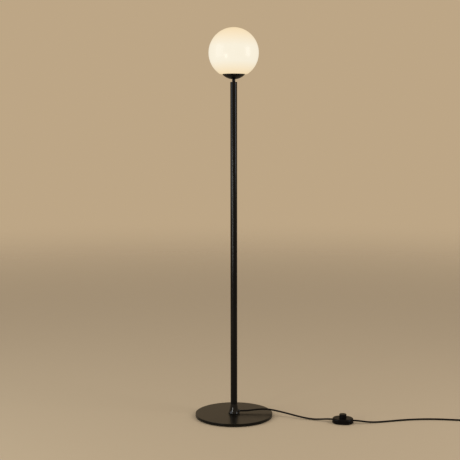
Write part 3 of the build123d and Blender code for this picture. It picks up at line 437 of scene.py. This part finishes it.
finishLooks = {
    "discPowderCoat": {
        "dark": (0.0040, 0.0034, 0.0022), "light": (0.0056, 0.0048, 0.0034), "roughness": (0.26, 0.32),
        "toneScale": 9, "grainScale": 1400, "grainHeight": 0.00001, "specular": 0.145,
    },
    "coneLacquer": {
        "dark": (0.003, 0.003, 0.003), "light": (0.0045, 0.0045, 0.0045), "roughness": (0.09, 0.13),
        "toneScale": 30, "grainScale": 260, "grainHeight": 0.000001, "specular": 0.28,
    },
    "poleLacquer": {
        "dark": (0.0018, 0.0020, 0.0019), "light": (0.0027, 0.0028, 0.0027), "roughness": (0.14, 0.18),
        "toneScale": 6, "grainScale": 900, "grainHeight": 0.000001, "specular": 0.18,
    },
    "dishLacquer": {
        "dark": (0.0028, 0.0028, 0.0028), "light": (0.0038, 0.0036, 0.0034), "roughness": (0.30, 0.36),
        "toneScale": 25, "grainScale": 900, "grainHeight": 0.000001, "specular": 0.12,
    },
    "panEnamel": {
        "dark": (0.76, 0.75, 0.71), "light": (0.84, 0.83, 0.79), "roughness": (0.35, 0.5),
        "toneScale": 60, "grainScale": 500, "grainHeight": 0.00003,
    },
    "zincPlate": {
        "dark": (0.50, 0.50, 0.52), "light": (0.66, 0.66, 0.66), "roughness": (0.25, 0.42),
        "toneScale": 180, "grainScale": 900, "grainHeight": 0.00002, "metallic": 1.0,
    },
    "holderMoulding": {
        "dark": (0.78, 0.77, 0.72), "light": (0.84, 0.83, 0.79), "roughness": (0.35, 0.45),
        "toneScale": 40, "grainScale": 1600, "grainHeight": 0.00002,
    },
    "holderCeramic": {
        "dark": (0.66, 0.63, 0.57), "light": (0.78, 0.75, 0.70), "roughness": (0.65, 0.85),
        "toneScale": 150, "grainScale": 1500, "grainHeight": 0.00006,
    },
    "pressedBrass": {
        "dark": (0.55, 0.38, 0.14), "light": (0.74, 0.55, 0.24), "roughness": (0.22, 0.38),
        "toneScale": 120, "grainScale": 1200, "grainHeight": 0.00002, "metallic": 1.0,
    },
    "bulbHousing": {
        "dark": (0.80, 0.80, 0.78), "light": (0.86, 0.86, 0.84), "roughness": (0.25, 0.33),
        "toneScale": 30, "grainScale": 1200, "grainHeight": 0.00001, "coat": 0.2,
    },
    "capNickel": {
        "dark": (0.55, 0.54, 0.52), "light": (0.72, 0.71, 0.68), "roughness": (0.18, 0.34),
        "toneScale": 150, "grainScale": 1300, "grainHeight": 0.00002, "metallic": 1.0,
    },
    "vitrifiedBlack": {
        "dark": (0.02, 0.02, 0.022), "light": (0.04, 0.04, 0.042), "roughness": (0.15, 0.3),
        "toneScale": 200, "grainScale": 1000, "grainHeight": 0.00003,
    },
    "solderTip": {
        "dark": (0.42, 0.41, 0.40), "light": (0.62, 0.61, 0.59), "roughness": (0.3, 0.5),
        "toneScale": 400, "grainScale": 1500, "grainHeight": 0.00006, "metallic": 1.0,
    },
    "padRubber": {
        "dark": (0.022, 0.022, 0.022), "light": (0.036, 0.036, 0.035), "roughness": (0.75, 0.9),
        "toneScale": 80, "grainScale": 2200, "grainHeight": 0.00008, "specular": 0.3,
    },
    "switchMoulding": {
        "dark": (0.0030, 0.0024, 0.0023), "light": (0.0044, 0.0036, 0.0034), "roughness": (0.34, 0.42),
        "toneScale": 45, "grainScale": 2400, "grainHeight": 0.00001, "specular": 0.08,
    },
    "latchMoulding": {
        "dark": (0.08, 0.08, 0.085), "light": (0.12, 0.12, 0.125), "roughness": (0.35, 0.5),
        "toneScale": 90, "grainScale": 1500, "grainHeight": 0.00003,
    },
    "tieMoulding": {
        "dark": (0.020, 0.020, 0.020), "light": (0.032, 0.032, 0.032), "roughness": (0.4, 0.55),
        "toneScale": 120, "grainScale": 900, "grainHeight": 0.00008,
    },
    "plugMoulding": {
        "dark": (0.0045, 0.0042, 0.004), "light": (0.0065, 0.006, 0.0058), "roughness": (0.36, 0.46),
        "toneScale": 60, "grainScale": 2000, "grainHeight": 0.00002, "specular": 0.2,
    },
    "pinNickel": {
        "dark": (0.58, 0.57, 0.54), "light": (0.74, 0.73, 0.70), "roughness": (0.12, 0.26),
        "toneScale": 160, "grainScale": 1200, "grainHeight": 0.00002, "metallic": 1.0,
        "grainStretch": (1, 0.05, 1),
    },
    "cordSheath": {
        "dark": (0.0020, 0.0018, 0.0017), "light": (0.0034, 0.0031, 0.0029), "roughness": (0.42, 0.5),
        "toneScale": 70, "grainScale": 1500, "grainHeight": 0.00002, "specular": 0.10,
    },
}
finishes = {name: grainedFinish(name, look) for name, look in finishLooks.items()}

opalLook = {
    "foot": 1.2415,  # height where the tones start, and the length they run over
    "span": 0.18,
    "tones": [  # place from foot to crown, and the light that comes through there
        (0.0, (0.870, 0.665, 0.375)),
        (0.32, (0.860, 0.800, 0.655)),
        (0.62, (0.860, 0.795, 0.645)),
        (0.88, (0.875, 0.715, 0.475)),
        (1.0, (0.885, 0.700, 0.425)),
    ],
    "body": (0.10, 0.095, 0.09),
    "cloudScale": 14,
    "cloudLift": 1.08,  # the lighter tone of the body against the darker
    "tint": (1.0, 0.98, 0.95),
    "coat": 0.4,
    "coatRoughness": 0.24,
}


def opalGlass(look):
    # lit from inside: white round the middle, warmer towards the crown and the foot
    finish, tree, shader = newFinish("opalGlass")
    coordinates = tree.nodes.new("ShaderNodeTexCoord")
    split = tree.nodes.new("ShaderNodeSeparateXYZ")
    tree.links.new(coordinates.outputs["Object"], split.inputs["Vector"])
    mapped = tree.nodes.new("ShaderNodeMapRange")
    mapped.inputs["From Min"].default_value = look["foot"]
    mapped.inputs["From Max"].default_value = look["foot"] + look["span"]
    tree.links.new(split.outputs["Z"], mapped.inputs["Value"])
    ramp = tree.nodes.new("ShaderNodeValToRGB")
    stops = ramp.color_ramp.elements
    while len(stops) < len(look["tones"]):
        stops.new(0.5)
    for stop, (place, tone) in zip(stops, look["tones"]):
        stop.position = place
        stop.color = (*tone, 1)
    tree.links.new(mapped.outputs["Result"], ramp.inputs["Fac"])
    tree.links.new(ramp.outputs["Color"], shader.inputs["Emission Color"])
    cloud = patternOf(tree, look["cloudScale"], finishMake["cloudDetail"])
    lighter = [tone * look["cloudLift"] for tone in look["body"]]
    mixTones(tree, cloud, shader.inputs["Base Color"], look["body"], lighter)
    shader.inputs["Emission Strength"].default_value = 1.0
    shader.inputs["Specular IOR Level"].default_value = 0.0
    shader.inputs["Coat Weight"].default_value = look["coat"]
    shader.inputs["Coat Roughness"].default_value = look["coatRoughness"]
    shader.inputs["Coat Tint"].default_value = (*look["tint"], 1)
    return finish


diffuserLook = {
    "body": ((0.30, 0.29, 0.27), (0.34, 0.33, 0.31)),
    "light": ((0.56, 0.49, 0.37), (0.58, 0.52, 0.40)),
    "cloudScale": 60,
    "roughness": 0.3,
}


def litDiffuser(look):
    finish, tree, shader = newFinish("bulbDiffuser")
    cloud = patternOf(tree, look["cloudScale"], finishMake["cloudDetail"])
    mixTones(tree, cloud, shader.inputs["Base Color"], *look["body"])
    mixTones(tree, cloud, shader.inputs["Emission Color"], *look["light"])
    shader.inputs["Emission Strength"].default_value = 1.0
    shader.inputs["Roughness"].default_value = look["roughness"]
    return finish


coreLook = {
    "left": (0.16, 0.07, 0.03),
    "right": (0.03, 0.12, 0.38),
    "grainScale": 1500,
    "roughness": (0.35, 0.5),
}


def twoCores(look):
    # one core brown, the other blue, on either side of the lamp's middle
    finish, tree, shader = newFinish("coreSheaths")
    coordinates = tree.nodes.new("ShaderNodeTexCoord")
    split = tree.nodes.new("ShaderNodeSeparateXYZ")
    side = tree.nodes.new("ShaderNodeMath")
    side.operation = "GREATER_THAN"
    side.inputs[1].default_value = 0.0
    tree.links.new(coordinates.outputs["Object"], split.inputs["Vector"])
    tree.links.new(split.outputs["X"], side.inputs[0])
    ramp = tree.nodes.new("ShaderNodeValToRGB")
    ramp.color_ramp.elements[0].color = (*look["left"], 1)
    ramp.color_ramp.elements[1].color = (*look["right"], 1)
    tree.links.new(side.outputs["Value"], ramp.inputs["Fac"])
    tree.links.new(ramp.outputs["Color"], shader.inputs["Base Color"])
    fine = patternOf(tree, look["grainScale"], finishMake["fineDetail"])
    varyRoughness(tree, fine, shader, *look["roughness"])
    return finish


finishes["opalGlass"] = opalGlass(opalLook)
finishes["bulbDiffuser"] = litDiffuser(diffuserLook)
finishes["coreSheaths"] = twoCores(coreLook)

nodeFinishes = {
    "base_plate": "discPowderCoat",
    "base_pads": "padRubber",
    "base_screws": "zincPlate",
    "foot_cone": "coneLacquer",
    "cord_bush": "padRubber",
    "pole": "poleLacquer",
    "pole_cap": "poleLacquer",
    "pole_nut": "zincPlate",
    "carrier_nut": "zincPlate",
    "neck_nipple": "zincPlate",
    "neck_sleeve": "dishLacquer",
    "globe_cup": "dishLacquer",
    "globe_carrier": "panEnamel",
    "glass_globe": "opalGlass",
    "holder_base": "holderMoulding",
    "holder_skirt": "holderMoulding",
    "holder_insert": "holderCeramic",
    "holder_terminals": "pressedBrass",
    "holder_shell": "pressedBrass",
    "holder_contact": "pressedBrass",
    "holder_leads": "coreSheaths",
    "bulb_contact": "solderTip",
    "bulb_insulator": "vitrifiedBlack",
    "bulb_body": "bulbHousing",
    "bulb_dome": "bulbDiffuser",
    "inner_cord": "cordSheath",
    "switch_base": "switchMoulding",
    "switch_cover": "switchMoulding",
    "switch_button": "switchMoulding",
    "switch_screws": "zincPlate",
    "switch_pads": "padRubber",
    "switch_latch": "latchMoulding",
    "switch_terminals": "pressedBrass",
    "switch_clamps": "latchMoulding",
    "clamp_screws": "zincPlate",
    "switch_leads": "cordSheath",
    "coil_tie": "tieMoulding",
    "plug_body": "plugMoulding",
    "plug_pins": "pinNickel",
    "plug_sleeves": "plugMoulding",
}


def coat(piece, finishName):
    piece.data.materials.clear()
    piece.data.materials.append(finishes[finishName])


for nodeName, finishName in nodeFinishes.items():
    coat(nodes[nodeName], finishName)
for cord in (cordToSwitch, cordToPlug):
    coat(cord, "cordSheath")
coat(threadedCap, "capNickel")
coat(buttonSpring, "zincPlate")
print("finishes given")

# Floor, world and lamps
studio = {
    "floorRadius": 9.0,
    "floorSides": 64,
    "floorColour": (0.51, 0.382, 0.238),
    "floorRoughness": 0.9,
    "floorSpecular": 0.2,
    "floorFade": (0.15, 0.9),  # the parts of the radius over which the floor thins out
    "background": (0.51, 0.382, 0.238),
    "fill": 0.78,  # light from all round, on surfaces that scatter it
    "boxes": [
        {"spot": (-2.34, -0.90, 1.66), "size": (1.9, 2.2), "radiance": 2.4, "colour": (0.76, 0.87, 1.0)},
        {"spot": (-1.50, -2.09, 0.56), "size": (0.40, 0.72), "radiance": 14.0, "colour": (0.97, 1.0, 0.95)},
        {"spot": (2.20, -0.92, 1.52), "size": (1.00, 1.5), "radiance": 5.0, "colour": (0.88, 0.92, 1.0)},
    ],
}


def layFloor(place):
    mesh = bmesh.new()
    bmesh.ops.create_circle(mesh, cap_ends=True, segments=place["floorSides"], radius=place["floorRadius"])
    floorMesh = keepMesh("paleFloor", mesh)
    floor = linkObject("paleFloor", floorMesh)
    finish, tree, shader = newFinish("paleFloor")
    shader.inputs["Base Color"].default_value = (*place["floorColour"], 1)
    shader.inputs["Roughness"].default_value = place["floorRoughness"]
    shader.inputs["Specular IOR Level"].default_value = place["floorSpecular"]
    coordinates = tree.nodes.new("ShaderNodeTexCoord")
    length = tree.nodes.new("ShaderNodeVectorMath")
    length.operation = "LENGTH"
    mapped = tree.nodes.new("ShaderNodeMapRange")
    mapped.interpolation_type = "SMOOTHERSTEP"
    mapped.inputs["From Min"].default_value = place["floorRadius"] * place["floorFade"][0]
    mapped.inputs["From Max"].default_value = place["floorRadius"] * place["floorFade"][1]
    mixed = tree.nodes.new("ShaderNodeMixShader")
    clear = tree.nodes.new("ShaderNodeBsdfTransparent")
    surface = tree.nodes["Material Output"].inputs["Surface"]
    tree.links.new(coordinates.outputs["Object"], length.inputs[0])
    tree.links.new(length.outputs["Value"], mapped.inputs["Value"])
    tree.links.new(mapped.outputs["Result"], mixed.inputs["Fac"])
    tree.links.new(shader.outputs["BSDF"], mixed.inputs[1])
    tree.links.new(clear.outputs["BSDF"], mixed.inputs[2])
    tree.links.new(mixed.outputs["Shader"], surface)
    floorMesh.materials.append(finish)


def setLamps(place):
    for number, box in enumerate(place["boxes"]):
        x, y, z = box["spot"]
        wide, high = box["size"]
        lampData = bpy.data.lights.new("softBox%d" % number, "AREA")
        lampData.shape = "RECTANGLE"
        lampData.size = wide
        lampData.size_y = high
        lampData.energy = box["radiance"] * math.pi * wide * high
        lampData.color = box["colour"]
        lamp = linkObject(lampData.name, lampData)
        lamp.location = (x, y, z)
        lamp.rotation_euler = (math.pi / 2, 0, math.atan2(y, x) + math.pi / 2)  # upright, facing the pole
        lamp.visible_camera = False


def setWorld(place):
    # the camera, gloss and glass see the pale background; what scatters gets an even fill
    world = bpy.data.worlds.new("studioWorld")
    scene.world = world
    world.use_nodes = True
    tree = world.node_tree
    seen = tree.nodes["Background"]
    seen.inputs["Color"].default_value = (*place["background"], 1)
    fill = tree.nodes.new("ShaderNodeBackground")
    fill.inputs["Strength"].default_value = place["fill"]
    rays = tree.nodes.new("ShaderNodeLightPath")
    glossOrCamera = tree.nodes.new("ShaderNodeMath")
    glossOrCamera.operation = "MAXIMUM"
    anySeen = tree.nodes.new("ShaderNodeMath")
    anySeen.operation = "MAXIMUM"
    mixed = tree.nodes.new("ShaderNodeMixShader")
    surface = tree.nodes["World Output"].inputs["Surface"]
    tree.links.new(rays.outputs["Is Camera Ray"], glossOrCamera.inputs[0])
    tree.links.new(rays.outputs["Is Glossy Ray"], glossOrCamera.inputs[1])
    tree.links.new(glossOrCamera.outputs["Value"], anySeen.inputs[0])
    tree.links.new(rays.outputs["Is Transmission Ray"], anySeen.inputs[1])
    tree.links.new(anySeen.outputs["Value"], mixed.inputs["Fac"])
    tree.links.new(fill.outputs["Background"], mixed.inputs[1])
    tree.links.new(seen.outputs["Background"], mixed.inputs[2])
    tree.links.new(mixed.outputs["Shader"], surface)


layFloor(studio)
setLamps(studio)
setWorld(studio)
scene.view_settings.view_transform = "Standard"
print("studio set")

bpy.context.view_layer.update()
